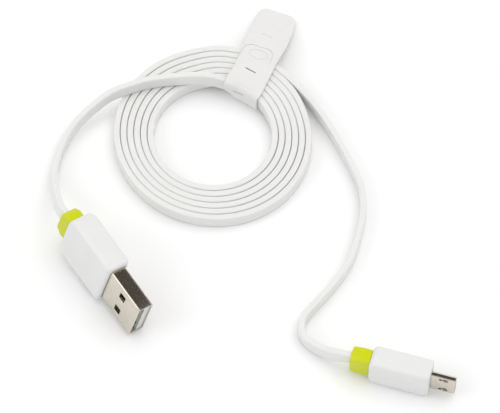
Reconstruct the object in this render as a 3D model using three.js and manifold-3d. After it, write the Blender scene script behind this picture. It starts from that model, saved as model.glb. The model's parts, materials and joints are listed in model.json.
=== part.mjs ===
// A flat-cord charging cable, USB-A plug to micro-B plug, wound into a flat coil and tied with a
// silicone strap. Millimetres, +Z up. It lies on the plane z = 0 and every flat piece stands on edge.
import * as THREE from 'three';
import { mergeVertices } from 'three/addons/utils/BufferGeometryUtils.js';
import Module from 'manifold-3d';

const wasm = await Module();
wasm.setup();

const DEGREE = Math.PI / 180;
const UP = new THREE.Vector3(0, 0, 1);
const FIT = 0.1; // gap between nested pieces of a plug
const BUTT = 0.3; // gap where a cord meets a collar, a coil or its next stretch

// Where the middle of the coil lies; the plugs and the strap are centred over the origin.
const COIL_CENTRE = [-10.58, 17.2];

// The cord: a flat section that stands on its narrow edge.
const CORD_HEIGHT = 4.2;
const CORD_THICKNESS = 1.7;
const CORD_CORNER = 0.45;

// The coil: six turns of the cord, wound inward counter-clockwise from its outer end.
const COIL_START = 45 * DEGREE;
const COIL_RADIUS = 26.15; // mean radius of the outermost strand where the coil starts
const COIL_OVAL = 0.5; // how far the coil bulges towards COIL_BULGE and back the other way
const COIL_BULGE = 135 * DEGREE;
const COIL_PITCH = 1.75;
const COIL_TURNS = 6;
const COIL_SLACK = 0.2; // what the coil's outer shape keeps clear of the strands beside it
const COIL_MOUTH = 3.6 * DEGREE; // opening between the two ends of the outer shape

// The strap: a silicone band round the bundle. Its base passes under the turns, and its flap folds back over
// them, buttons onto the base's end with a peg and ends in a paddle.
const STRAP_AZIMUTH = 69 * DEGREE;
const STRAP_OFFSET = 2.35; // of its centre line from the coil's centre
const STRAP_THICKNESS = 1.0;
const STRAP_WIDTH = 10.2;
const PADDLE_WIDTH = 10.8;
const STRAP_LIFT = 1.25; // how far the band under the coil raises it
const LIFT_AZIMUTH = 59.5 * DEGREE; // of the middle of the raised stretch
const LIFT_FLAT = 23 * DEGREE; // the coil is level this far to each side of it
const LIFT_END = 50 * DEGREE; // and back on the table this far away
// Places along the strap, measured from the coil's centre.
const FOLD = 11.4; // the band's upright stretch inside the coil
const JOINT = 12.9; // the flap's start
const SLIT_PLACE = 20.2;
const SLOPE = [27.0, 41.4]; // the flap comes down to the table between these
const PEG_PLACE = 29.4;
const BASE_END = 31.8;
const PADDLE_END = 43.4;
const FOLD_TOP = 7.6; // height of the flap's middle line over the raised strand
const FLAP_HEIGHT = 6.4; // and over the other turns
const BASE_HEIGHT = 2.9; // of the base's middle line under the peg
const SLIT_SIZE = [0.5, 3.0];
const PEG_RADIUS = 1.1;
const PEG_HOLE_RADIUS = 1.7;

// USB-A plug, in its own frame: x to the tip, y across its wide side, z out of its wide face.
// The origin is the middle of the overmould's front face.
const USB_A = {
  position: [-25.34, -46.09, 7.78],
  heading: -55 * DEGREE,
  pitch: -6.1 * DEGREE,
  roll: -13.7 * DEGREE,
  mould: { length: 17.8, width: 15.4, thickness: 7.0, edge: 1.3, shoulder: [2.2, 1.9] },
  collar: { length: 3.5, rear: 6.2, front: 8.8, thickness: 4.7, edge: 0.8 },
  shell: { front: 12.5, rear: -6.4, width: 12.0, thickness: 4.5, wall: 0.3 },
  can: { front: -6.7, rear: -14.4, width: 11.9, thickness: 4.4, wall: 0.25 },
};
const USB_A_PINS = [
  { name: 'vbus', y: 3.5, tip: 11.2 },
  { name: 'data_minus', y: 1.0, tip: 10.2 },
  { name: 'data_plus', y: -1.0, tip: 10.2 },
  { name: 'ground', y: -3.5, tip: 11.2 },
];
const USB_A_PIN = { width: 1.0, thickness: 0.2, tail: -8.5, face: -0.15 };

// Micro-B plug, in a frame of the same kind.
const MICRO_B = {
  position: [54.6, -72.3, 5.05],
  heading: -16.4 * DEGREE,
  pitch: 0,
  roll: 0,
  mould: { length: 15.6, width: 10.1, thickness: 6.1, edge: 1.3, shoulder: [1.3, 1.0] },
  collar: { length: 4.8, rear: 6.2, front: 7.2, thickness: 4.4, edge: 0.8 },
  shell: { front: 6.35, rear: -4.6, width: 6.85, narrow: 5.4, thickness: 1.8, wall: 0.22 },
  can: { front: -4.9, rear: -11.5, width: 7.0, thickness: 3.4, wall: 0.25 },
};
const MICRO_B_PINS = 5;
const MICRO_B_PIN = { pitch: 0.65, width: 0.36, thickness: 0.14, tail: -5.7, tip: 5.6, face: -0.05 };
const LATCH = { y: 2.35, width: 0.5, thickness: 0.2, root: -3.8, tip: 4.3, face: 0.5, hook: 1.3 };

// Four insulated wires, side by side inside the flat cord.
const WIRE_RADIUS = 0.28;
const WIRE_SPACING = 0.85;
const WIRE_SLOT = [4.0, 1.3]; // the passage they share through moulds and collars
const WIRE_COLOURS = { red: 0xb3241c, white: 0xe8e6e0, green: 0x2c7a3a, black: 0x1c1c1e };

// Free stretches of the cord's centre line, from the coil's centre and from the table.
const USB_A_ROUTE = [
  [11.15, 10.25, 3.35], [9.31, 11.92, 3.35], [7.12, 13.39, 3.5], [4.71, 14.48, 4.0], [2.13, 15.18, 4.75],
  [0, 15.42, 5.7], [-2.2, 15.4, 6.6], [-5.2, 15.35, 6.9], [-8.4, 15.25, 6.7], [-11.7, 15.1, 6.5],
  [-15, 14.7, 6.45], [-18.3, 14, 6.45], [-21.6, 12.9, 6.4], [-24.7, 11.7, 6.35], [-27.6, 10.3, 6.1],
  [-30.9, 7.9, 5.3], [-33.8, 5.5, 4.4], [-36.4, 2.7, 3.6], [-38.5, -0.4, 2.8], [-40, -3.8, 2.35],
  [-41, -7.4, 2.25], [-41.5, -11.2, 2.65], [-41.4, -15.2, 4.1], [-40.8, -19.2, 6.2], [-40.1, -22.9, 8.4],
];
const MICRO_B_ROUTE = [
  [18.36, 17.92, 3.35], [22.2, 13.9, 3.1], [25.9, 9.5, 2.6], [28.5, 5.6, 2.3], [30.8, 1.5, 2.15],
  [33, -3, 2.12], [35.1, -7.5, 2.1], [36.8, -11.2, 2.1], [37.9, -14.8, 2.1], [38.5, -18.7, 2.1],
  [38.4, -22.9, 2.1], [37.2, -29.6, 2.1], [35.4, -35.8, 2.1], [33.4, -40, 2.1], [31, -43.4, 2.1],
  [28.4, -46.9, 2.1], [25.3, -50.6, 2.1], [23, -53.6, 2.1], [22.1, -56.6, 2.12], [22.9, -59.4, 2.18],
  [25.2, -61.6, 2.3], [28, -63.6, 3.0], [30.6, -65, 4.1],
];
const STRAIGHT_ENTRY = 2.6; // of each route before its collar
const ROLL_START = 0.55; // where along a route its section starts to lean with its plug
const STRETCH_STEPS = 40;
const COIL_STEPS = 72;

const MATERIALS = {
  cord: material(0xeeeeec, 0.5, 0),
  mould: material(0xf2f2f1, 0.45, 0),
  collar: material(0xcfdc12, 0.4, 0),
  steel: material(0xc4bcb0, 0.3, 1),
  plating: material(0xd8b45a, 0.25, 1),
  insulator: material(0xf4f4f2, 0.5, 0),
  darkInsulator: material(0x2a2a2c, 0.5, 0),
  innerMould: material(0xdfe3e6, 0.6, 0),
  silicone: material(0xe9ebea, 0.6, 0),
};

function material(color, roughness, metalness) {
  return new THREE.MeshStandardMaterial({ color, roughness, metalness });
}

// ---- solids ----

function toSolid(geometry) {
  const bare = geometry.clone();
  bare.deleteAttribute('normal');
  bare.deleteAttribute('uv');
  const merged = mergeVertices(bare, 1e-4);
  const vertProperties = new Float32Array(merged.attributes.position.array);
  const triVerts = new Uint32Array(merged.index.array);
  return new wasm.Manifold(new wasm.Mesh({ numProp: 3, vertProperties, triVerts }));
}

function toGeometry(solid) {
  const mesh = solid.getMesh();
  const geometry = new THREE.BufferGeometry();
  geometry.setAttribute('position', new THREE.BufferAttribute(new Float32Array(mesh.vertProperties), 3));
  geometry.setIndex(new THREE.BufferAttribute(new Uint32Array(mesh.triVerts), 1));
  geometry.computeVertexNormals();
  return geometry;
}

function cut(geometry, ...tools) {
  return toGeometry(tools.reduce((solid, tool) => solid.subtract(toSolid(tool)), toSolid(geometry)));
}

function join(geometry, ...others) {
  return toGeometry(others.reduce((solid, other) => solid.add(toSolid(other)), toSolid(geometry)));
}

function common(first, second) {
  return toGeometry(toSolid(first).intersect(toSolid(second)));
}

function box([x0, x1], [y0, y1], [z0, z1]) {
  const geometry = new THREE.BoxGeometry(x1 - x0, y1 - y0, z1 - z0);
  return geometry.translate((x0 + x1) / 2, (y0 + y1) / 2, (z0 + z1) / 2);
}

function bar(x, width, thickness) {
  return box(x, [-width / 2, width / 2], [-thickness / 2, thickness / 2]);
}

function polygon(points) {
  return new THREE.Shape(points.map(([x, y]) => new THREE.Vector2(x, y)));
}

// A prism of an outline drawn in y and z, running along x.
function prismAlongX(outline, [x0, x1]) {
  const geometry = new THREE.ExtrudeGeometry(outline, { depth: x1 - x0, bevelEnabled: false });
  const axes = new THREE.Matrix4().makeBasis(
    new THREE.Vector3(0, 1, 0), new THREE.Vector3(0, 0, 1), new THREE.Vector3(1, 0, 0));
  return geometry.applyMatrix4(axes).translate(x0, 0, 0);
}

// A slab centred on z = 0, whose rounded edges stand out from an outline drawn in x and y.
function roundedSlab(outline, thickness, edge) {
  const geometry = new THREE.ExtrudeGeometry(outline, {
    depth: thickness - 2 * edge,
    bevelThickness: edge,
    bevelSize: edge,
    bevelSegments: 3,
    curveSegments: 3,
  });
  return geometry.translate(0, 0, edge - thickness / 2);
}

// ---- cord ----

// Frames that keep a section upright along a curve, turned by roll(u) about the curve.
function uprightFrames(curve, segments, roll) {
  const frames = { tangents: [], normals: [], binormals: [] };
  for (let i = 0; i <= segments; i++) {
    const u = i / segments;
    const tangent = curve.getTangentAt(u);
    const side = new THREE.Vector3().crossVectors(tangent, UP).normalize();
    const upright = side.cross(tangent).applyAxisAngle(tangent, roll(u));
    frames.tangents.push(tangent);
    frames.binormals.push(upright);
    frames.normals.push(new THREE.Vector3().crossVectors(upright, tangent));
  }
  return frames;
}

// A route whose section stands upright and turns to endRoll over its last stretch.
class LaidRoute extends THREE.CatmullRomCurve3 {
  constructor(points, endRoll = 0) {
    super(points.map((point) => new THREE.Vector3(...point)), false, 'centripetal');
    this.endRoll = endRoll;
  }

  computeFrenetFrames(segments) {
    const roll = (u) => this.endRoll * THREE.MathUtils.smoothstep(u, ROLL_START, 1);
    return uprightFrames(this, segments, roll);
  }
}

// The middle line of the whole band of turns, over one trip round the coil.
class CoilBand extends THREE.Curve {
  getPoint(t) {
    const swept = t * (2 * Math.PI - COIL_MOUTH);
    const angle = COIL_START + swept;
    const wound = COIL_PITCH * (swept / (2 * Math.PI) + (COIL_TURNS - 1) / 2);
    const radius = COIL_RADIUS + COIL_OVAL * Math.cos(2 * (angle - COIL_BULGE)) - wound;
    const height = CORD_HEIGHT / 2 + coilLift(angle);
    return new THREE.Vector3(radius * Math.cos(angle), radius * Math.sin(angle), height);
  }

  computeFrenetFrames(segments) {
    return uprightFrames(this, segments, () => 0);
  }
}

// How far the strap under the coil raises it at an angle round the coil.
function coilLift(angle) {
  const ahead = THREE.MathUtils.euclideanModulo(angle - LIFT_AZIMUTH + Math.PI, 2 * Math.PI) - Math.PI;
  return STRAP_LIFT * (1 - THREE.MathUtils.smoothstep(Math.abs(ahead), LIFT_FLAT, LIFT_END));
}

// A flat strip's section with its corners cut off, thickness across and height upright.
function stripSection(thickness, height, corner) {
  const x = thickness / 2;
  const y = height / 2;
  return polygon([
    [x, corner - y], [x, y - corner], [x - corner, y], [corner - x, y],
    [-x, y - corner], [-x, corner - y], [corner - x, -y], [x - corner, -y],
  ]);
}

function sweep(section, path, steps) {
  return new THREE.ExtrudeGeometry(section, { extrudePath: path, steps, bevelEnabled: false });
}

// A free stretch of cord that ends in line with its plug, just behind the collar.
function cordStretch(route, plug) {
  const behind = plug.mould.length + plug.collar.length + 2 * BUTT;
  const entry = [behind + STRAIGHT_ENTRY, behind].map((distance) => (
    new THREE.Vector3(-distance, 0, 0).applyMatrix4(plugMatrix(plug)).toArray()));
  const path = new LaidRoute([...route, ...entry], plug.roll);
  return sweep(stripSection(CORD_THICKNESS, CORD_HEIGHT, CORD_CORNER), path, STRETCH_STEPS);
}

function coilBody() {
  const width = (COIL_TURNS - 1) * COIL_PITCH + CORD_THICKNESS - 2 * COIL_SLACK;
  return sweep(stripSection(width, CORD_HEIGHT, CORD_CORNER), new CoilBand(), COIL_STEPS);
}

// Wires from the tails of a plug's pins to the end of its cord, first spread and then side by side.
function addWires(parent, prefix, plug, starts, tail) {
  const section = new THREE.Shape().absarc(0, 0, WIRE_RADIUS, 0, 2 * Math.PI);
  const end = -(plug.mould.length + plug.collar.length + BUTT);
  const merge = plug.can.rear + 1.2;
  Object.entries(WIRE_COLOURS).forEach(([colour, hex], i) => {
    const { y, z } = starts[i];
    const lane = (1.5 - i) * WIRE_SPACING;
    const from = tail - BUTT;
    const route = [[from, y, z], [from - 0.8, y, z], [merge, lane, 0], [merge - 1, lane, 0], [end, lane, 0]];
    const geometry = new THREE.ExtrudeGeometry(section, {
      extrudePath: new LaidRoute(route), steps: 8, curveSegments: 8, bevelEnabled: false,
    });
    addPiece(parent, `${prefix}_wire_${colour}`, geometry, material(hex, 0.5, 0));
  });
}

// ---- plugs ----

function plugMatrix({ position, heading, pitch, roll }) {
  const along = new THREE.Vector3(
    Math.cos(heading) * Math.cos(pitch), Math.sin(heading) * Math.cos(pitch), Math.sin(pitch));
  const side = new THREE.Vector3().crossVectors(along, UP).normalize();
  const across = side.cross(along).applyAxisAngle(along, roll);
  const out = new THREE.Vector3().crossVectors(along, across);
  return new THREE.Matrix4().makeBasis(along, across, out).setPosition(...position);
}

function placedGroup(plug) {
  const group = new THREE.Group();
  plugMatrix(plug).decompose(group.position, group.quaternion, group.scale);
  return group;
}

// The overmould: a soft-edged block with sloping rear shoulders, hollow for the metalwork.
function overmould({ mould, shell, can }) {
  const { edge } = mould;
  const [slope, drop] = mould.shoulder;
  const half = mould.width / 2 - edge;
  const front = -edge;
  const rear = edge - mould.length;
  const turn = 0.5;
  const outline = new THREE.Shape();
  outline.moveTo(front, turn - half);
  outline.lineTo(front, half - turn);
  outline.quadraticCurveTo(front, half, front - turn, half);
  outline.lineTo(rear + slope + turn, half);
  outline.quadraticCurveTo(rear + slope, half, rear + slope - turn, half - turn * drop / slope);
  outline.lineTo(rear, half - drop);
  outline.lineTo(rear, drop - half);
  outline.lineTo(rear + slope - turn, turn * drop / slope - half);
  outline.quadraticCurveTo(rear + slope, -half, rear + slope + turn, -half);
  outline.lineTo(front - turn, -half);
  outline.quadraticCurveTo(front, -half, front, turn - half);
  return cut(
    roundedSlab(outline, mould.thickness, edge),
    bar([shell.rear - 2 * FIT, 1], shell.width + 2 * FIT, shell.thickness + 2 * FIT),
    bar([can.rear - FIT, shell.rear - FIT], can.width + 2 * FIT, can.thickness + 2 * FIT),
    bar([-mould.length - 1, can.rear], ...WIRE_SLOT),
  );
}

// The coloured collar where the cord enters the overmould, narrower towards the cord.
function strainRelief({ mould, collar }) {
  const { edge } = collar;
  const front = -(mould.length + BUTT);
  const rear = front - collar.length;
  const waist = front - collar.length * 0.55;
  const wide = collar.front / 2 - edge;
  const narrow = collar.rear / 2 - edge;
  const outline = polygon([
    [front - edge, wide], [waist, wide], [rear + edge, narrow],
    [rear + edge, -narrow], [waist, -wide], [front - edge, -wide],
  ]);
  return cut(roundedSlab(outline, collar.thickness, edge), bar([rear - 1, front + 1], ...WIRE_SLOT));
}

function sleeve([x0, x1], width, thickness, wall) {
  return cut(bar([x0, x1], width, thickness), bar([x0 - 1, x1 + 1], width - 2 * wall, thickness - 2 * wall));
}

function rearCan({ can }) {
  return sleeve([can.rear, can.front], can.width, can.thickness, can.wall);
}

// The block moulded over the soldered joints, with one passage for the wires.
function innerMould({ can }, passage) {
  const width = can.width - 2 * (can.wall + FIT);
  const thickness = can.thickness - 2 * (can.wall + FIT);
  return cut(
    bar([can.rear, can.front], width, thickness),
    bar([can.rear - 1, can.front + 1], ...passage),
  );
}

// ---- USB-A plug ----

function usbAShell({ shell }) {
  const tube = sleeve([shell.rear, shell.front], shell.width, shell.thickness, shell.wall);
  const holes = [];
  for (const y of [2.7, -2.8]) {
    holes.push(box([5.2, 7.3], [y - 1.05, y + 1.05], [-shell.thickness, shell.thickness]));
  }
  return cut(tube, ...holes);
}

// The white insulator: a block at the rear and a tongue with a groove for each contact.
function usbATongue({ shell }) {
  const halfWidth = shell.width / 2 - shell.wall - FIT;
  const halfDepth = shell.thickness / 2 - shell.wall - FIT;
  const floor = USB_A_PIN.face - USB_A_PIN.thickness - FIT;
  const tongue = box([shell.rear, shell.front - 0.4], [-halfWidth, halfWidth], [-halfDepth, USB_A_PIN.face]);
  const block = box([shell.rear, -0.6], [-halfWidth, halfWidth], [-halfDepth, halfDepth]);
  const grooves = USB_A_PINS.map(({ y, tip }) => {
    const half = USB_A_PIN.width / 2 + FIT;
    return box([shell.rear - 1, tip + 2 * FIT], [y - half, y + half], [floor, USB_A_PIN.face + FIT]);
  });
  return cut(join(tongue, block), ...grooves);
}

function usbAContact({ y, tip }) {
  const { width, thickness, tail, face } = USB_A_PIN;
  return box([tail, tip], [y - width / 2, y + width / 2], [face - thickness, face]);
}

function addUsbAPlug(cable) {
  const plug = placedGroup(USB_A);
  cable.add(plug);
  addPiece(plug, 'usb_a_overmould', overmould(USB_A), MATERIALS.mould);
  addPiece(plug, 'usb_a_strain_relief', strainRelief(USB_A), MATERIALS.collar);
  addPiece(plug, 'usb_a_shell', usbAShell(USB_A), MATERIALS.steel);
  addPiece(plug, 'usb_a_rear_can', rearCan(USB_A), MATERIALS.steel);
  addPiece(plug, 'usb_a_tongue', usbATongue(USB_A), MATERIALS.insulator);
  addPiece(plug, 'usb_a_inner_mould', innerMould(USB_A, [8.4, 1.5]), MATERIALS.innerMould);
  for (const pin of USB_A_PINS) {
    addPiece(plug, `usb_a_contact_${pin.name}`, usbAContact(pin), MATERIALS.plating);
  }
  const height = USB_A_PIN.face - USB_A_PIN.thickness / 2;
  const starts = USB_A_PINS.map(({ y }) => ({ y, z: height }));
  addWires(plug, 'usb_a', USB_A, starts, USB_A_PIN.tail);
}

// ---- micro-B plug ----

// The shell's outline in y and z, wide towards +z, drawn in by an inset.
function microBOutline({ shell }, inset) {
  const wide = shell.width / 2 - inset;
  const narrow = shell.narrow / 2 - inset * 0.4;
  const face = shell.thickness / 2 - inset;
  const bend = -0.15;
  return polygon([
    [wide, face], [-wide, face], [-wide, bend], [-narrow, -face], [narrow, -face], [wide, bend],
  ]);
}

function microBShell(plug) {
  const { shell } = plug;
  const outer = prismAlongX(microBOutline(plug, 0), [shell.rear, shell.front]);
  const inner = prismAlongX(microBOutline(plug, shell.wall), [shell.rear - 1, shell.front + 1]);
  const slots = [LATCH.y, -LATCH.y].map((y) => {
    const half = LATCH.width / 2 + 1.5 * FIT;
    return box([LATCH.tip - 2.1, LATCH.tip + 2 * FIT], [y - half, y + half], [0, shell.thickness]);
  });
  return cut(outer, inner, ...slots);
}

function pinPlaces() {
  return Array.from({ length: MICRO_B_PINS }, (_, i) => ((MICRO_B_PINS - 1) / 2 - i) * MICRO_B_PIN.pitch);
}

function microBInsulator({ shell }) {
  const halfDepth = shell.thickness / 2 - shell.wall - 0.06;
  const halfWidth = LATCH.y - LATCH.width / 2 - 0.2;
  const { face, thickness, width, tip } = MICRO_B_PIN;
  const tongue = box([shell.rear, shell.front - 0.3], [-halfWidth, halfWidth], [-halfDepth, face]);
  const block = box([shell.rear, -0.4], [-halfWidth, halfWidth], [-halfDepth, halfDepth]);
  const grooves = pinPlaces().map((y) => {
    const half = width / 2 + 0.05;
    return box([shell.rear - 1, tip + FIT], [y - half, y + half], [face - thickness - 0.05, face + 0.05]);
  });
  return cut(join(tongue, block), ...grooves);
}

function microBContact(y) {
  const { width, thickness, tail, tip, face } = MICRO_B_PIN;
  return box([tail, tip], [y - width / 2, y + width / 2], [face - thickness, face]);
}

// A spring arm inside the shell, with a hook that stands out through the shell's slot.
function latchArm(y) {
  const { width, thickness, root, tip, face, hook } = LATCH;
  const profile = polygon([
    [root, face - thickness], [tip, face - thickness], [tip, face], [tip - 0.25, hook],
    [tip - 0.75, hook], [tip - 1.75, face], [root, face],
  ]);
  const geometry = new THREE.ExtrudeGeometry(profile, { depth: width, bevelEnabled: false });
  return geometry.rotateX(Math.PI / 2).translate(0, y + width / 2, 0);
}

function addMicroBPlug(cable) {
  const plug = placedGroup(MICRO_B);
  cable.add(plug);
  addPiece(plug, 'micro_b_overmould', overmould(MICRO_B), MATERIALS.mould);
  addPiece(plug, 'micro_b_strain_relief', strainRelief(MICRO_B), MATERIALS.collar);
  addPiece(plug, 'micro_b_shell', microBShell(MICRO_B), MATERIALS.steel);
  addPiece(plug, 'micro_b_rear_can', rearCan(MICRO_B), MATERIALS.steel);
  addPiece(plug, 'micro_b_insulator', microBInsulator(MICRO_B), MATERIALS.darkInsulator);
  addPiece(plug, 'micro_b_inner_mould', innerMould(MICRO_B, [4.6, 1.3]), MATERIALS.innerMould);
  pinPlaces().forEach((y, i) => {
    addPiece(plug, `micro_b_contact_${i + 1}`, microBContact(y), MATERIALS.plating);
  });
  addPiece(plug, 'micro_b_latch_upper', latchArm(LATCH.y), MATERIALS.steel);
  addPiece(plug, 'micro_b_latch_lower', latchArm(-LATCH.y), MATERIALS.steel);
  const height = MICRO_B_PIN.face - MICRO_B_PIN.thickness / 2;
  const wired = pinPlaces().filter((_, i) => i !== 3); // the fourth contact has no wire
  addWires(plug, 'micro_b', MICRO_B, wired.map((y) => ({ y, z: height })), MICRO_B_PIN.tail);
}

// ---- strap ----

// A band of the strap's thickness along a line of [distance, height] points, extruded across.
function strapBand(line, width) {
  const half = STRAP_THICKNESS / 2;
  const upper = [];
  const lower = [];
  line.forEach((point, i) => {
    const before = new THREE.Vector2(...line[Math.max(i - 1, 0)]);
    const here = new THREE.Vector2(...point);
    const after = new THREE.Vector2(...line[Math.min(i + 1, line.length - 1)]);
    const into = here.clone().sub(before).normalize();
    const out = after.sub(here).normalize();
    const along = into.clone().add(out).normalize();
    const edge = i === 0 ? out : into;
    const reach = half / (along.x * edge.x + along.y * edge.y);
    const normal = new THREE.Vector2(-along.y, along.x).multiplyScalar(reach);
    upper.push([here.x + normal.x, here.y + normal.y]);
    lower.unshift([here.x - normal.x, here.y - normal.y]);
  });
  const outline = polygon([...upper, ...lower]);
  const geometry = new THREE.ExtrudeGeometry(outline, { depth: width, bevelEnabled: false });
  return geometry.rotateX(Math.PI / 2).translate(0, width / 2, 0);
}

// An upright prism of a plan outline that ends at a distance with rounded corners.
function strapPlan(from, to, width, corner) {
  const half = width / 2;
  const outline = new THREE.Shape();
  outline.moveTo(from, -half);
  outline.lineTo(to - corner, -half);
  outline.absarc(to - corner, corner - half, corner, -Math.PI / 2, 0);
  outline.lineTo(to, half - corner);
  outline.absarc(to - corner, half - corner, corner, 0, Math.PI / 2);
  outline.lineTo(from, half);
  const options = { depth: 30, curveSegments: 5, bevelEnabled: false };
  return new THREE.ExtrudeGeometry(outline, options).translate(0, 0, -10);
}

function peg(radius, [z0, z1]) {
  const geometry = new THREE.CylinderGeometry(radius, radius, z1 - z0, 16);
  return geometry.rotateX(Math.PI / 2).translate(PEG_PLACE, 0, (z0 + z1) / 2);
}

// The band from its fold inside the coil, under the turns, and up to the end with the peg's hole.
function strapBase() {
  const under = STRAP_THICKNESS / 2;
  const line = [
    [JOINT - BUTT, FOLD_TOP], [FOLD + 0.3, FOLD_TOP - 0.4], [FOLD, FOLD_TOP - 1.2],
    [FOLD, 1.4], [FOLD + 0.3, 0.8], [FOLD + 1.1, under], [PEG_PLACE - 2.6, under],
    [PEG_PLACE - 1.4, BASE_HEIGHT - 0.6], [PEG_PLACE - 0.9, BASE_HEIGHT], [BASE_END, BASE_HEIGHT - 0.1],
  ];
  const band = common(strapBand(line, STRAP_WIDTH + 2), strapPlan(0, BASE_END - 0.1, STRAP_WIDTH, 2.2));
  return cut(band, peg(PEG_HOLE_RADIUS, [BASE_HEIGHT - 2, BASE_HEIGHT + 2]));
}

// The flap over the turns and down to its paddle, with an adjusting slit and the peg on its underside.
function strapFlap() {
  const under = STRAP_THICKNESS / 2;
  const line = [
    [JOINT, FOLD_TOP], [JOINT + 3.7, FOLD_TOP], [JOINT + 6.1, FLAP_HEIGHT + 0.1],
    [SLOPE[0], FLAP_HEIGHT], [SLOPE[1], under], [PADDLE_END, under],
  ];
  const narrow = strapPlan(0, SLOPE[0], STRAP_WIDTH, 0.5);
  const paddle = strapPlan(SLOPE[0] - 1, PADDLE_END, PADDLE_WIDTH, 3.6);
  const band = common(strapBand(line, PADDLE_WIDTH + 2), join(narrow, paddle));
  const [halfLength, halfWidth] = SLIT_SIZE.map((size) => size / 2);
  const slit = box([SLIT_PLACE - halfLength, SLIT_PLACE + halfLength], [-halfWidth, halfWidth], [0, 20]);
  const lowered = (PEG_PLACE - SLOPE[0]) / (SLOPE[1] - SLOPE[0]) * (FLAP_HEIGHT - under);
  return join(cut(band, slit), peg(PEG_RADIUS, [BASE_HEIGHT - 0.3, FLAP_HEIGHT - lowered]));
}

function addStrap(cable) {
  const strap = new THREE.Group();
  strap.rotation.z = STRAP_AZIMUTH;
  strap.position.set(STRAP_OFFSET * Math.sin(STRAP_AZIMUTH), -STRAP_OFFSET * Math.cos(STRAP_AZIMUTH), 0);
  cable.add(strap);
  addPiece(strap, 'strap_base', strapBase(), MATERIALS.silicone);
  addPiece(strap, 'strap_flap', strapFlap(), MATERIALS.silicone);
}

// ---- the cable ----

function addPiece(parent, name, geometry, finish) {
  const mesh = new THREE.Mesh(geometry, finish);
  mesh.name = name;
  parent.add(mesh);
}

const cable = new THREE.Group();
cable.position.set(...COIL_CENTRE, 0);
addPiece(cable, 'cord_usb_a_side', cordStretch(USB_A_ROUTE, USB_A), MATERIALS.cord);
addPiece(cable, 'cord_coil', coilBody(), MATERIALS.cord);
addPiece(cable, 'cord_micro_b_side', cordStretch(MICRO_B_ROUTE, MICRO_B), MATERIALS.cord);
addUsbAPlug(cable);
addMicroBPlug(cable);
addStrap(cable);

export default cable;
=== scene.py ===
"""A white flat-cord charging cable, wound into a coil and tied with a silicone strap.

It has a USB-A plug and a micro-B plug. Everything is in metres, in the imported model's frame. Lofted
meshes stand for the cord, the moulded and pressed parts of the plugs, and the strap. The contacts,
wires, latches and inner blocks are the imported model's own, with better materials.
"""
import json
import math

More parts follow.
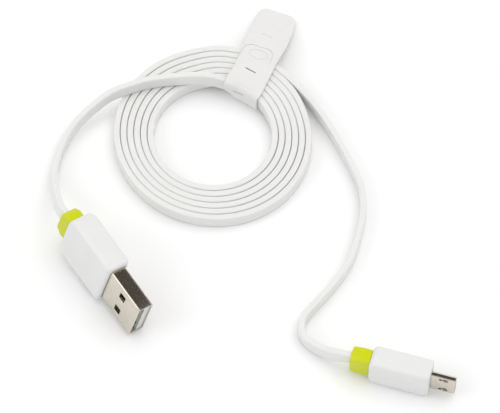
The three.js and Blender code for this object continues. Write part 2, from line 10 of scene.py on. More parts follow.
import bmesh
import bpy
import numpy as np
from mathutils import Matrix, Vector
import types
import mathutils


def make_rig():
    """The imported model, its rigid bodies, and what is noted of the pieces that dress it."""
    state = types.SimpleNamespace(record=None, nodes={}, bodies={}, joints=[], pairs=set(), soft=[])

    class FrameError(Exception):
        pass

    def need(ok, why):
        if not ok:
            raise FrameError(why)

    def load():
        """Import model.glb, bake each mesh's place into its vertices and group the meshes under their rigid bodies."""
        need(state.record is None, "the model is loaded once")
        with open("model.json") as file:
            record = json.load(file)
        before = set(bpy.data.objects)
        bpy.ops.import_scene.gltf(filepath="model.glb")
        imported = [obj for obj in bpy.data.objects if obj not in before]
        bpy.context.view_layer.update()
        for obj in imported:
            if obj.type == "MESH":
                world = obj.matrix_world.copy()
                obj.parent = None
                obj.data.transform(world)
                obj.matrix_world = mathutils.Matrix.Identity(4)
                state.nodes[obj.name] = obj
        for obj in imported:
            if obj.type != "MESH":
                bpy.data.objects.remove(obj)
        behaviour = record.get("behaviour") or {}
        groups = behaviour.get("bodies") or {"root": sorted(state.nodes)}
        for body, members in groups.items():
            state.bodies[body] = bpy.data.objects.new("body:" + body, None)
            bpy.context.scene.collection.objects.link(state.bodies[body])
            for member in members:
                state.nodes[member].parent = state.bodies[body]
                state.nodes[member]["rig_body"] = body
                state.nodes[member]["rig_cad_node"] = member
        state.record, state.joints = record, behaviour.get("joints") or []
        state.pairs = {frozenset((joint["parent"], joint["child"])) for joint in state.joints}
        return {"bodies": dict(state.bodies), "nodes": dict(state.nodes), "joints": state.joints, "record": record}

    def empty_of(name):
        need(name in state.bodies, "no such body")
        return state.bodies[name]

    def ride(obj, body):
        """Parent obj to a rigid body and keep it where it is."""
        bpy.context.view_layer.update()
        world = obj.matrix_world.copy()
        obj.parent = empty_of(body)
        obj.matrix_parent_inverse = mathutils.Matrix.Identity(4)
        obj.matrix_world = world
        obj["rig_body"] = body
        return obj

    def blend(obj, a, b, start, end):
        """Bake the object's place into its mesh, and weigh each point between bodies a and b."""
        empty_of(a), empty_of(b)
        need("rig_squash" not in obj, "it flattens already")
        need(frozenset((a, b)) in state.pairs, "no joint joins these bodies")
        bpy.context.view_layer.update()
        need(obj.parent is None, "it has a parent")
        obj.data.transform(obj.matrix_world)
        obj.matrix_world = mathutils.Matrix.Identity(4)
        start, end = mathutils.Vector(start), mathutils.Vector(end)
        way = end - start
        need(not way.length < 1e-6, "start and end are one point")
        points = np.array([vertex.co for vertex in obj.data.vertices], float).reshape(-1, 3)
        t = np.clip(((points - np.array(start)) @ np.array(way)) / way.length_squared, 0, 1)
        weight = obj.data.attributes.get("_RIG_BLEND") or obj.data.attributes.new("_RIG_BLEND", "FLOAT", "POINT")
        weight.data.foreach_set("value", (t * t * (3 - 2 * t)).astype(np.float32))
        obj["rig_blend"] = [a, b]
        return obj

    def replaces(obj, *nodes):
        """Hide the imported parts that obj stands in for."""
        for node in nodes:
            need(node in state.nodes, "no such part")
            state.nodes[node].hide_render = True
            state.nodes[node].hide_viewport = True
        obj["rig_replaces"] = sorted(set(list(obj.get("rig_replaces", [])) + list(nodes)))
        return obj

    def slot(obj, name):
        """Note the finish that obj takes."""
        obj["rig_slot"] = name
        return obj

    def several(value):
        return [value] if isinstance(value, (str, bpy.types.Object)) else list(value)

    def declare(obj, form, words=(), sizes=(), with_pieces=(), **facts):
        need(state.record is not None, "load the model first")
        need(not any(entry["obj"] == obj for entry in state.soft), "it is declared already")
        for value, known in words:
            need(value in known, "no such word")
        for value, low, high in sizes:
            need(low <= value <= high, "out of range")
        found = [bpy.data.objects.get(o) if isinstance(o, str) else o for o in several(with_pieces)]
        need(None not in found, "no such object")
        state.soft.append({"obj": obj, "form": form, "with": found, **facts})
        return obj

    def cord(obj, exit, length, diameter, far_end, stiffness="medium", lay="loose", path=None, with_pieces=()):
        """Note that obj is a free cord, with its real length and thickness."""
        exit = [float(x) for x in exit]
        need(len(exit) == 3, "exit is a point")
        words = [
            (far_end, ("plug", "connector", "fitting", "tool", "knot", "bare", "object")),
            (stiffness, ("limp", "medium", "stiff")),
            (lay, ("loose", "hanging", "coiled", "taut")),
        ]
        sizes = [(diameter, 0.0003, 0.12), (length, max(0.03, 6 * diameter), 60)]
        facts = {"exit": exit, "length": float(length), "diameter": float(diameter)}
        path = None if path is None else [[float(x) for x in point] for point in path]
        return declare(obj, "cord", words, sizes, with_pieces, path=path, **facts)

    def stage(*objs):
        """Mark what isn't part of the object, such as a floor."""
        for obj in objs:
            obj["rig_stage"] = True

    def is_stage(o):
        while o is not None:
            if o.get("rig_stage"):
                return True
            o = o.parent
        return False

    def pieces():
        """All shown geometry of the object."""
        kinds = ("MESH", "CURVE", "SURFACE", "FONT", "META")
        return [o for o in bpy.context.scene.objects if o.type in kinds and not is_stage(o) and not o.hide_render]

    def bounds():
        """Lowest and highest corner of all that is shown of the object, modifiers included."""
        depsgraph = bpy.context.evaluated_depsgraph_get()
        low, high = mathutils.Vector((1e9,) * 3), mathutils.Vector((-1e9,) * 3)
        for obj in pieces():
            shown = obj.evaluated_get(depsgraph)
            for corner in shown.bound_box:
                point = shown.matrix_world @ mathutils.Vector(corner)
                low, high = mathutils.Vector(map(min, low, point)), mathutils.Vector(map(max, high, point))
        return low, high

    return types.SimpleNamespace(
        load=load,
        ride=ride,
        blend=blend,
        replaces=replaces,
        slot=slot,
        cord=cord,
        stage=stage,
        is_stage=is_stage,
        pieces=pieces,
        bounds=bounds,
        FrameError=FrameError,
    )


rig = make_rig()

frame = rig.load()
cad_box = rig.bounds()

UP = np.array([0.0, 0.0, 1.0])

# ---- the camera and the studio ----

VIEW_ELEVATION = math.radians(60.0)
VIEW_DISTANCE = 0.9
VIEW_TARGET = Vector((-0.0013, -0.0024, 0.0))
VIEW_LENS = 250.1  # millimetres, as the sensor's width
SENSOR_WIDTH = 36.0

LAMP_STRENGTH = 1.4
LAMP_BREADTH = math.radians(55.0)
LAMP_LEAN = math.radians(16.0)  # from overhead, both to the back and to the right
LAMP_COLOUR = (1.0, 0.99, 0.975)
STUDIO_STRENGTH = 0.8
STUDIO_COLOUR = (0.98, 0.985, 1.0, 1.0)
# Round parts of the studio: their direction, and the nearness to it at which they start and are whole.
DARK_PART = {"direction": (0.21, 0.53, 0.82), "start": 0.82, "whole": 0.93,
             "colour": (0.09, 0.075, 0.065, 1.0)}
BRIGHT_PART = {"direction": (-0.69, -0.19, 0.70), "start": 0.955, "whole": 0.975,
               "colour": (3.0, 3.0, 3.0, 1.0)}
FLOOR_SIZE = 1.5
FLOOR_HEIGHT = -0.00004  # just under the cable

# ---- the cord and its coil ----

COIL_CENTRE = np.array([-0.01058, 0.0172, 0.0])
CORD_HEIGHT = 0.0042
CORD_THICKNESS = 0.00164
CORD_CORNER = 0.00043
CORD_LENGTH = 0.98
CORD_STEP = 0.0007  # between the cord's rings
CORD_SMOOTHINGS = 6

COIL_START = math.radians(45.0)
COIL_RADIUS = 0.02615
COIL_OVAL = 0.0005  # how far the outer turn bulges
COIL_BULGE = math.radians(135.0)  # and in which direction
COIL_PITCH = 0.00175
COIL_TURNS = 6
COIL_POINTS = 60  # in one turn
STRAP_LIFT = 0.00125  # how far the strap raises the coil that lies on it
LIFT_AZIMUTH = math.radians(59.5)
LIFT_FLAT = math.radians(23.0)  # to either side of the azimuth
LIFT_END = math.radians(50.0)

ENTRY = 0.0026  # straight stretch of cord behind a collar
TUCK = 0.0011  # how far the cord runs into its collar
ROLL_REACH = 0.039  # of the cord behind the USB-A plug that leans over with it

# Free stretches of the cord's centre line, from the coil's centre.
USB_A_ROUTE = [
    (0.0115, 0.0106, 0.00335), (0.0096, 0.01225, 0.00335), (0.0073, 0.01365, 0.0035),
    (0.0048, 0.0147, 0.0040), (0.00215, 0.0153, 0.00475), (0.0, 0.01545, 0.0057),
    (-0.0022, 0.0154, 0.0066), (-0.0052, 0.01535, 0.0069), (-0.0084, 0.01525, 0.0067),
    (-0.0117, 0.0151, 0.0065), (-0.015, 0.0147, 0.00645), (-0.0183, 0.014, 0.00645),
    (-0.0216, 0.0129, 0.0064), (-0.0247, 0.0117, 0.00635), (-0.0276, 0.0103, 0.0061),
    (-0.0309, 0.0079, 0.0053), (-0.0338, 0.0055, 0.0044), (-0.0364, 0.0027, 0.0036),
    (-0.0385, -0.0004, 0.0028), (-0.04, -0.0038, 0.00235), (-0.041, -0.0074, 0.00225),
    (-0.0415, -0.0112, 0.00265), (-0.0414, -0.0152, 0.0041), (-0.0408, -0.0192, 0.0062),
    (-0.0401, -0.0229, 0.0084),
]
MICRO_B_ROUTE = [
    (0.01836, 0.01792, 0.00335), (0.0222, 0.0139, 0.0031), (0.0259, 0.0095, 0.0026),
    (0.0285, 0.0056, 0.0023), (0.0308, 0.0015, 0.00215), (0.033, -0.003, 0.00212),
    (0.0351, -0.0075, 0.0021), (0.0368, -0.0112, 0.0021), (0.0379, -0.0148, 0.0021),
    (0.0385, -0.0187, 0.0021), (0.0384, -0.0229, 0.0021), (0.0372, -0.0296, 0.0021),
    (0.0354, -0.0358, 0.0021), (0.0334, -0.04, 0.0021), (0.031, -0.0434, 0.0021),
    (0.0284, -0.0469, 0.0021), (0.0253, -0.0506, 0.0021), (0.023, -0.0536, 0.0021),
    (0.0221, -0.0566, 0.00212), (0.0229, -0.0594, 0.00218), (0.0252, -0.0616, 0.0023),
    (0.028, -0.0636, 0.0030), (0.0306, -0.065, 0.0041),
]

# ---- the plugs ----

# Their frames: x to the tip, y across the wide side, z out of the wide face, and 0 at the overmould's
# front. Positions are from the coil's centre, and angles in degrees.
USB_A = {"position": (-0.02534, -0.04609, 0.00778), "heading": -55.0, "pitch": -6.1, "roll": -13.7}
MICRO_B = {"position": (0.0546, -0.0723, 0.00505), "heading": -16.4, "pitch": 0.0, "roll": 0.0}
# An overmould loses drop from each side over the slope at its rear.
USB_A_MOULD = {"length": 0.0178, "width": 0.0154, "thickness": 0.0070, "slope": 0.0022, "drop": 0.0019,
               "edge": 0.0013, "rim": 0.001}
MICRO_B_MOULD = {"length": 0.0156, "width": 0.0101, "thickness": 0.0061, "slope": 0.0013, "drop": 0.0010,
                 "edge": 0.0011, "rim": 0.0007}
USB_A_COLLAR = {"length": 0.0035, "rear": 0.0062, "front": 0.0088, "thickness": 0.0047}
MICRO_B_COLLAR = {"length": 0.0048, "rear": 0.0062, "front": 0.0072, "thickness": 0.0044}
COLLAR_EDGE = 0.0009
COLLAR_RIM = 0.0004
COLLAR_WAIST = 0.55  # share of a collar's length, from its front, that keeps its full width
USB_A_SHELL = {"rear": -0.0064, "tip": 0.0125, "half_width": 0.006, "half_thickness": 0.00225,
               "wall": 0.0003, "edge": 0.00065}
MICRO_B_SHELL = {"rear": -0.0046, "tip": 0.00635, "half_width": 0.003425, "half_thickness": 0.0009,
                 "wall": 0.00022, "edge": 0.00028}
USB_A_CAN = {"rear": -0.0145, "half_width": 0.00595, "half_thickness": 0.0022}
MICRO_B_CAN = {"rear": -0.0116, "half_width": 0.0035, "half_thickness": 0.0017}
BUTT = 0.0003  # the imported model's gap between an overmould, its collar and the cord
CLEARANCE = 0.0001  # round the metalwork in an overmould
CHAMFER = 0.00018  # of the overmould's mouth
STEP = 0.00002  # between two rings that make a step, and between an overmould and its collar
MOUTH_CORNER = 0.0006
CAN_CORNER = 0.0002
# Openings, as half width, half thickness and corner radius.
WIRE_PASSAGE = (0.002, 0.00065, 0.0002)
CORD_SOCKET = (0.00215, 0.00088, 0.0004)
SOCKET_DEPTH = 0.0013
SOCKET_CHAMFER = 0.0001
# Openings in the shells. The holes and the slots are in pairs, one on each side of the axis.
USB_A_HOLES = {"place": (0.0061, 0.0029, 0.0), "size": (0.0022, 0.0022, 0.006)}
USB_A_SEAM = {"place": (0.004, 0.0, -0.0022), "size": (0.0168, 0.00008, 0.0003)}
LATCH_SLOTS = {"place": (0.00335, 0.00235, 0.001), "size": (0.0023, 0.0008, 0.0012)}
MICRO_B_NARROW = 0.0027  # half the width of the shell's narrow face
MICRO_B_BEVEL = -0.00015  # height at which its sides start to slope
PLUG_STEPS = {"corner_steps": 6, "side_steps": (4, 4)}

# ---- the strap ----

# s is the distance along the strap from the coil's centre, and q to the right of its middle line.
STRAP_AZIMUTH = math.radians(69.0)
STRAP_OFFSET = 0.00235  # of the middle line from the coil's centre
ALONG = np.array([math.cos(STRAP_AZIMUTH), math.sin(STRAP_AZIMUTH), 0.0])
ACROSS = np.array([math.sin(STRAP_AZIMUTH), -math.cos(STRAP_AZIMUTH), 0.0])
HALF_BAND = 0.0005  # half the band's thickness
BAND_RIM = 0.0004  # over which the band's far end rounds off
BAND_STEP = 0.00027  # between the band's rings
FLAP_START = (0.01345, 0.0067)
BEND_START = 0.0149
BEND_LENGTH = 0.003
# Middle lines of the band, as s and height.
BASE_LINE = [
    FLAP_START, (0.0131, 0.0067), (0.01275, 0.0065), (0.0125, 0.0061), (0.01245, 0.0055),
    (0.01245, 0.0040), (0.01245, 0.0024), (0.0126, 0.0015), (0.0130, 0.00085), (0.0137, 0.00055),
    (0.0148, 0.0005), (0.0170, 0.0005), (0.0210, 0.0005), (0.0250, 0.0005), (0.0267, 0.00055),
    (0.0276, 0.0013), (0.0283, 0.0023), (0.0290, 0.00285), (0.0300, 0.0029), (0.0318, 0.0028),
]
FLAP_LINE = [
    FLAP_START, (0.0138, 0.0067), (0.0152, 0.00665), (0.0170, 0.0065), (0.0190, 0.00628),
    (0.0215, 0.00615), (0.0245, 0.0061), (0.0267, 0.0059), (0.0285, 0.0054), (0.0315, 0.0043),
    (0.0355, 0.0028), (0.0395, 0.0013), (0.0415, 0.00075), (0.0434, 0.0005),
]
# How far the band reaches to the left and to the right of its middle line, after the s where it does.
BASE_EDGES = [(0.0125, 0.0049, 0.0047), (0.0132, 0.0049, 0.0051), (0.05, 0.0049, 0.0051)]
FLAP_EDGES = [
    (0.0131, 0.0049, 0.0051), (0.0210, 0.0046, 0.0055), (0.0270, 0.0048, 0.0057),
    (0.0300, 0.0050, 0.0058), (0.0330, 0.0053, 0.0058), (0.0410, 0.00595, 0.00495),
    (0.0440, 0.0062, 0.0046),
]
BASE_CORNER = 0.0022
FLAP_CORNER = 0.0028
# The flap's left side rises over the raised strand, as height per width. The tilt grows over these
# heights and fades over this s.
TILT = {"most": 0.13, "grows": (0.0015, 0.0062), "fades": (0.0155, 0.0215)}
# The strands in the fold push it out in a bow, and its left side is tucked in below the raised strand.
BOW = {"most": 0.00145, "middle": -0.0024, "half_width": 0.0075}
TUCK_IN = {"most": 0.0018, "left": (0.0015, 0.0052), "height": (0.0008, 0.0045)}
SKEW_FADES = (0.0134, 0.0205)
FOLD_SLIT = {"place": (0.0136, -0.0008, 0.0050), "size": (0.003, 0.0028, 0.00045), "turn": 8.0}
FLAP_SLIT = {"place": (0.0201, 0.0, 0.0062), "size": (0.00035, 0.0031, 0.004), "turn": 12.0}
PEG_PLACE = 0.0294
PEG = [(0.0007, 0.0026), (0.001, 0.0027), (0.0011, 0.0029), (0.0011, 0.0049)]  # radius and height
PEG_HOLE = [(0.0017, 0.001), (0.0017, 0.0045)]
# The flap's faint markings, in s and q.
FIELD = {"left": -0.0043, "right": 0.0039, "left_start": 0.0232, "right_start": 0.0236,
         "end": 0.0282, "corner": 0.0023}
OVAL = {"s": 0.0255, "q": 0.0002, "half_length": 0.0014, "half_width": 0.0025}
BAR = [(0.0335, -0.0017), (0.0329, 0.0012)]


# ---- curves and meshes ----

def smoothstep(value, start, end):
    t = np.clip((value - start) / (end - start), 0.0, 1.0)
    return t * t * (3.0 - 2.0 * t)


def distances(line):
    """How far along a line each of its points is."""
    return np.concatenate([[0.0], np.cumsum(np.linalg.norm(np.diff(line, axis=0), axis=1))])


def directions(line):
    """A line's direction at each of its points."""
    ways = np.gradient(line, axis=0)
    return ways / np.linalg.norm(ways, axis=1)[:, None]


def spaced(line, step):
    """The line again, with its points step apart or a little less."""
    along = distances(line)
    at = np.linspace(0.0, along[-1], math.ceil(along[-1] / step) + 1)
    return np.stack([np.interp(at, along, line[:, k]) for k in range(line.shape[1])], axis=1)


def smooth_line(points, step, samples=16):
    """Points step apart on the centripetal Catmull-Rom curve through the given points."""
    p = np.array(points, float)
    p = np.vstack([2 * p[0] - p[1], p, 2 * p[-1] - p[-2]])
    t = np.concatenate([[0.0], np.cumsum(np.linalg.norm(np.diff(p, axis=0), axis=1) ** 0.5)])

    def between(i, j, a, b, at):
        return ((t[j] - at) * a + (at - t[i]) * b) / (t[j] - t[i])

    pieces = []
    for i in range(1, len(p) - 2):
        at = np.linspace(t[i], t[i + 1], samples, endpoint=False)[:, None]
        a1 = between(i - 1, i, p[i - 1], p[i], at)
        a2 = between(i, i + 1, p[i], p[i + 1], at)
        a3 = between(i + 1, i + 2, p[i + 1], p[i + 2], at)
        b1 = between(i - 1, i + 1, a1, a2, at)
        b2 = between(i, i + 2, a2, a3, at)
        pieces.append(between(i, i + 1, b1, b2, at))
    pieces.append(p[-2:-1])
    return spaced(np.vstack(pieces), step)


def rounded_outline(corners, radius, corner_steps, side_steps):
    """Points round a convex outline with rounded corners.

    side_steps holds the steps on its first, third... side and on its second, fourth... one.
    """
    corners = np.array(corners, float)
    arcs = []
    for i, corner in enumerate(corners):
        to_before = corners[i - 1] - corner
        to_after = corners[(i + 1) % len(corners)] - corner
        a = to_before / np.linalg.norm(to_before)
        b = to_after / np.linalg.norm(to_after)
        half = math.acos(np.clip(a @ b, -1.0, 1.0)) / 2
        middle = corner + (a + b) / np.linalg.norm(a + b) * radius / math.sin(half)
        start = corner + a * radius / math.tan(half) - middle
        turn = math.copysign(math.pi - 2 * half, a[1] * b[0] - a[0] * b[1])
        angles = np.linspace(0.0, turn, corner_steps + 1)
        arcs.append(np.stack([
            middle[0] + start[0] * np.cos(angles) - start[1] * np.sin(angles),
            middle[1] + start[0] * np.sin(angles) + start[1] * np.cos(angles)], axis=1))
    outline = []
    for i, arc in enumerate(arcs):
        following = arcs[(i + 1) % len(arcs)][0]
        steps = side_steps[i % 2]
        share = np.arange(1, steps)[:, None] / steps
        outline += [arc, arc[-1] + (following - arc[-1]) * share]
    return np.vstack(outline)


def box_corners(half_width, half_height):
    return [(half_width, half_height), (-half_width, half_height),
            (-half_width, -half_height), (half_width, -half_height)]


def rectangle(half_width, half_height, radius, corner_steps, side_steps):
    return rounded_outline(box_corners(half_width, half_height), radius, corner_steps, side_steps)


def new_object(name, data):
    made = bpy.data.objects.new(name, data)
    bpy.context.scene.collection.objects.link(made)
    return made


def loft(name, rings, closed=False):
    """A mesh through rings of points, with its two ends capped, or joined to each other when closed.

    Its UV map holds metres along the loft and round it.
    """
    rings = np.array(rings, float)
    count, around, _ = rings.shape
    along = distances(rings.mean(axis=1))
    girth = np.linalg.norm(rings[0] - np.roll(rings[0], 1, axis=0), axis=1)
    across = np.concatenate([[0.0], np.cumsum(np.roll(girth, -1))])
    faces, coordinates = [], []
    for i in range(count if closed else count - 1):
        j = (i + 1) % count
        near, far = along[i], along[min(i + 1, count - 1)]
        for k in range(around):
            m = (k + 1) % around
            faces.append((i * around + k, i * around + m, j * around + m, j * around + k))
            left, right = across[k], across[k + 1]
            coordinates += [(near, left), (near, right), (far, right), (far, left)]
    if not closed:
        for ring in (0, count - 1):
            faces.append([ring * around + k for k in range(around)])
            coordinates += [(along[ring], across[k]) for k in range(around)]
    mesh = bpy.data.meshes.new(name)
    mesh.from_pydata(rings.reshape(-1, 3).tolist(), [], faces)
    layer = mesh.uv_layers.new(name="lay")
    layer.data.foreach_set("uv", np.array(coordinates, np.float32).ravel())
    finish_mesh(mesh)
    return new_object(name, mesh)


def finish_mesh(mesh):
    """Turns the faces outwards, and shades them smooth apart from sharp edges."""
    built = bmesh.new()
    built.from_mesh(mesh)
    bmesh.ops.recalc_face_normals(built, faces=built.faces)
    built.to_mesh(mesh)
    built.free()
    mesh.shade_smooth()
    mesh.set_sharp_from_angle(angle=math.radians(38.0))


def block(name, size, matrix):
    """A box for cutting, of a size along the matrix's axes and centred on its origin."""
    mesh = bpy.data.meshes.new(name)
    built = bmesh.new()
    bmesh.ops.create_cube(built, size=1.0, matrix=matrix @ Matrix.Diagonal((*size, 1.0)))
    built.to_mesh(mesh)
    built.free()
    return new_object(name, mesh)


def settle(target):
    """Makes what the modifiers give into the object's own mesh."""
    bpy.context.view_layer.update()
    shown = target.evaluated_get(bpy.context.evaluated_depsgraph_get())
    mesh = bpy.data.meshes.new_from_object(shown)
    target.modifiers.clear()
    target.data = mesh
    finish_mesh(mesh)


def combine(target, tool, operation="DIFFERENCE"):
    """Cuts a tool out of a mesh, or joins it on, and removes the tool."""
    modifier = target.modifiers.new("combine", "BOOLEAN")
    modifier.operation = operation
    modifier.solver = "EXACT"
    modifier.object = tool
    settle(target)
    bpy.data.objects.remove(tool)


def soften(target, width):
    """Rounds the sharp edges."""
    modifier = target.modifiers.new("soften", "BEVEL")
    modifier.width = width
    modifier.segments = 2
    modifier.limit_method = "ANGLE"
    modifier.angle_limit = math.radians(50.0)
    settle(target)


# ---- materials ----

class Shader:
    """A principled material that is put together socket by socket."""

    def __init__(self, name, colour, roughness, **values):
        self.material = bpy.data.materials.new(name)
        self.material.use_nodes = True
        self.nodes = self.material.node_tree.nodes
        self.links = self.material.node_tree.links
        self.principled = self.nodes["Principled BSDF"]
        self.place = self.nodes.new("ShaderNodeTexCoord")
        self.normal = None
        self.colour = (*colour, 1.0)
        self.principled.inputs["Base Color"].default_value = self.colour
        self.principled.inputs["Roughness"].default_value = roughness
        for key, value in values.items():
            self.principled.inputs[key.replace("_", " ")].default_value = value

    def noise(self, size, stretch=(1.0, 1.0, 1.0), detail=3.0, source=None):
        """Noise with features of a size in metres, drawn out along some axes of its coordinates."""
        mapping = self.nodes.new("ShaderNodeMapping")
        mapping.inputs["Scale"].default_value = [1.0 / (size * s) for s in stretch]
        texture = self.nodes.new("ShaderNodeTexNoise")
        texture.inputs["Scale"].default_value = 1.0
        texture.inputs["Detail"].default_value = detail
        self.links.new(source or self.place.outputs["Object"], mapping.inputs["Vector"])
        self.links.new(mapping.outputs["Vector"], texture.inputs["Vector"])
        return texture.outputs["Fac"]

    def between(self, factor, low, high):
        """A number from low to high as a noise goes through the middle of its range."""
        node = self.nodes.new("ShaderNodeMapRange")
        node.inputs["From Min"].default_value = 0.3
        node.inputs["From Max"].default_value = 0.7
        node.inputs["To Min"].default_value = low
        node.inputs["To Max"].default_value = high
        self.links.new(factor, node.inputs["Value"])
        return node.outputs["Result"]

    def tint(self, factor, other):
        """Shifts the colour towards another one by a noise."""
        mix = self.nodes.new("ShaderNodeMix")
        mix.data_type = "RGBA"
        source = self.principled.inputs["Base Color"]
        if source.links:
            self.links.new(source.links[0].from_socket, mix.inputs["A"])
        else:
            mix.inputs["A"].default_value = self.colour
        mix.inputs["B"].default_value = (*other, 1.0)
        self.links.new(self.between(factor, 0.0, 1.0), mix.inputs["Factor"])
        self.links.new(mix.outputs["Result"], source)

    def rough(self, factor, low, high):
        self.links.new(self.between(factor, low, high), self.principled.inputs["Roughness"])

    def bump(self, height, distance):
        """Relief of a depth in metres, on top of any that is there."""
        node = self.nodes.new("ShaderNodeBump")
        node.inputs["Distance"].default_value = distance
        node.inputs["Strength"].default_value = 1.0
        self.links.new(height, node.inputs["Height"])
        if self.normal is not None:
            self.links.new(self.normal, node.inputs["Normal"])
        self.normal = node.outputs["Normal"]
        self.links.new(self.normal, self.principled.inputs["Normal"])


def darker(colour, share):
    return tuple(channel * share for channel in colour)


def jacket(name, colour):
    """The cord's satin jacket, with drawing lines along it and faint soiling."""
    made = Shader(name, colour, 0.42, Subsurface_Weight=0.12, Subsurface_Scale=0.0012,
                  Subsurface_Radius=(1.0, 0.95, 0.85), IOR=1.48)
    streaks = made.noise(0.00035, (30.0, 1.0, 1.0), 4.0, made.place.outputs["UV"])
    clouds = made.noise(0.006, detail=4.0)
    grain = made.noise(0.00012, detail=2.0)
    made.tint(clouds, darker(colour, 0.955))
    made.tint(streaks, darker(colour, 0.975))
    made.rough(clouds, 0.36, 0.5)
    made.bump(streaks, 0.00003)
    made.bump(grain, 0.00001)
    return made.material


def moulding(name, colour):
    """An injection moulding with a fine spark-eroded surface."""
    made = Shader(name, colour, 0.45, Subsurface_Weight=0.1, Subsurface_Scale=0.001,
                  Subsurface_Radius=(1.0, 0.95, 0.9), IOR=1.5)
    clouds = made.noise(0.005)
    grain = made.noise(0.00016)
    waves = made.noise(0.0025, detail=1.0)
    made.tint(clouds, darker(colour, 0.95))
    made.tint(grain, darker(colour, 0.97))
    made.rough(grain, 0.4, 0.52)
    made.bump(waves, 0.00004)
    made.bump(grain, 0.000012)
    return made.material


def silicone(name, colour):
    """Milky silicone that takes in light and holds a little dust."""
    made = Shader(name, colour, 0.55, Subsurface_Weight=0.15, Subsurface_Scale=0.0006,
                  Subsurface_Radius=(1.0, 0.98, 0.94), IOR=1.42, Sheen_Weight=0.08)
    clouds = made.noise(0.0045)
    dust = made.noise(0.0002, detail=4.0)
    waves = made.noise(0.003, detail=1.0)
    made.tint(clouds, darker(colour, 0.95))
    made.tint(dust, darker(colour, 0.97))
    made.rough(clouds, 0.48, 0.64)
    made.bump(waves, 0.00012)
    made.bump(dust, 0.00001)
    return made.material


def plated(name, colour, heading):
    """Rolled and nickel-plated sheet, its grain along a plug with a heading in degrees."""
    made = Shader(name, colour, 0.2, Metallic=1.0)
    turned = made.nodes.new("ShaderNodeVectorRotate")
    turned.rotation_type = "Z_AXIS"
    turned.inputs["Angle"].default_value = math.radians(-heading)
    made.links.new(made.place.outputs["Object"], turned.inputs["Vector"])
    lines = made.noise(0.0001, (30.0, 1.0, 1.0), 4.0, turned.outputs["Vector"])
    clouds = made.noise(0.002)
    made.tint(clouds, darker(colour, 0.86))
    made.tint(lines, darker(colour, 0.93))
    made.rough(lines, 0.17, 0.29)
    made.bump(lines, 0.000004)
    made.bump(clouds, 0.00002)
    return made.material


def plain(name, colour, roughness, metallic=0.0):
    """A small part's finish: slightly uneven colour, gloss and surface."""
    made = Shader(name, colour, roughness, Metallic=metallic)
    clouds = made.noise(0.0018)
    grain = made.noise(0.0002)
    made.tint(clouds, darker(colour, 0.88))
    made.rough(grain, roughness - 0.06, roughness + 0.08)
    made.bump(grain, 0.000008)
    return made.material


def paper(name):
    """The floor's pale paper."""
    made = Shader(name, (0.93, 0.93, 0.93), 0.7)
    made.tint(made.noise(0.05), (0.92, 0.92, 0.92))
    return made.material


STEEL_COLOUR = (0.70, 0.66, 0.57)
CORD_MATERIAL = jacket("cord_jacket", (0.80, 0.80, 0.785))
MOULD_MATERIAL = moulding("white_moulding", (0.79, 0.79, 0.78))
COLLAR_MATERIAL = moulding("green_moulding", (0.61, 0.655, 0.002))
USB_A_STEEL = plated("usb_a_plating", STEEL_COLOUR, USB_A["heading"])
MICRO_B_STEEL = plated("micro_b_plating", STEEL_COLOUR, MICRO_B["heading"])
STRAP_MATERIAL = silicone("milky_silicone", (0.785, 0.78, 0.765))
GOLD = plain("gold_flash", (0.86, 0.62, 0.24), 0.24, metallic=1.0)
TONGUE_WHITE = plain("white_insulator", (0.72, 0.73, 0.71), 0.42)
TONGUE_BLACK = plain("black_insulator", (0.025, 0.025, 0.027), 0.45)
INNER_MATERIAL = plain("natural_polyethylene", (0.68, 0.71, 0.72), 0.5)
WIRE_COLOURS = {"red": (0.5, 0.02, 0.015), "white": (0.76, 0.75, 0.72),
                "green": (0.02, 0.22, 0.05), "black": (0.012, 0.012, 0.014)}
WIRE_MATERIALS = {name: plain("insulation_" + name, colour, 0.34)
                  for name, colour in WIRE_COLOURS.items()}


def dress(piece, material, slot):
    """Gives a new piece its material and its slot in the record."""
    piece.data.materials.clear()
    piece.data.materials.append(material)
    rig.slot(piece, slot)


# ---- plug frames ----

def plug_matrix(plug):
    """The plug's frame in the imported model's frame."""
    heading, pitch, roll = (math.radians(plug[key]) for key in ("heading", "pitch", "roll"))
    level = Vector((math.cos(heading), math.sin(heading), 0.0))
    along = level * math.cos(pitch) + Vector(UP) * math.sin(pitch)
    side = along.cross(Vector(UP)).normalized()
    across = Matrix.Rotation(roll, 3, along) @ side.cross(along)
    out = along.cross(across)
    turn = Matrix((along, across, out)).transposed().to_4x4()
    return Matrix.Translation(Vector(plug["position"]) + Vector(COIL_CENTRE)) @ turn


USB_A_FRAME = plug_matrix(USB_A)
MICRO_B_FRAME = plug_matrix(MICRO_B)


def at(matrix, x, outline):
    """A ring of an outline in y and z, at a distance along a plug."""
    ring = np.column_stack([np.full(len(outline), x), outline, np.ones(len(outline))])
    return (ring @ np.array(matrix).T)[:, :3]


def on_axis(matrix, x):
    return np.array(matrix @ Vector((x, 0.0, 0.0)))


# ---- the camera, the studio and the floor ----

def add_camera():
    data = bpy.data.cameras.new("camera")
    data.lens = VIEW_LENS
    data.sensor_width = SENSOR_WIDTH
    data.clip_start = 0.01
    data.clip_end = 20.0
    camera = new_object("camera", data)
    back = Vector((0.0, -math.cos(VIEW_ELEVATION), math.sin(VIEW_ELEVATION)))
    camera.location = VIEW_TARGET + back * VIEW_DISTANCE
    camera.rotation_mode = "QUATERNION"
    camera.rotation_quaternion = (-back).to_track_quat("-Z", "Y")
    bpy.context.scene.camera = camera


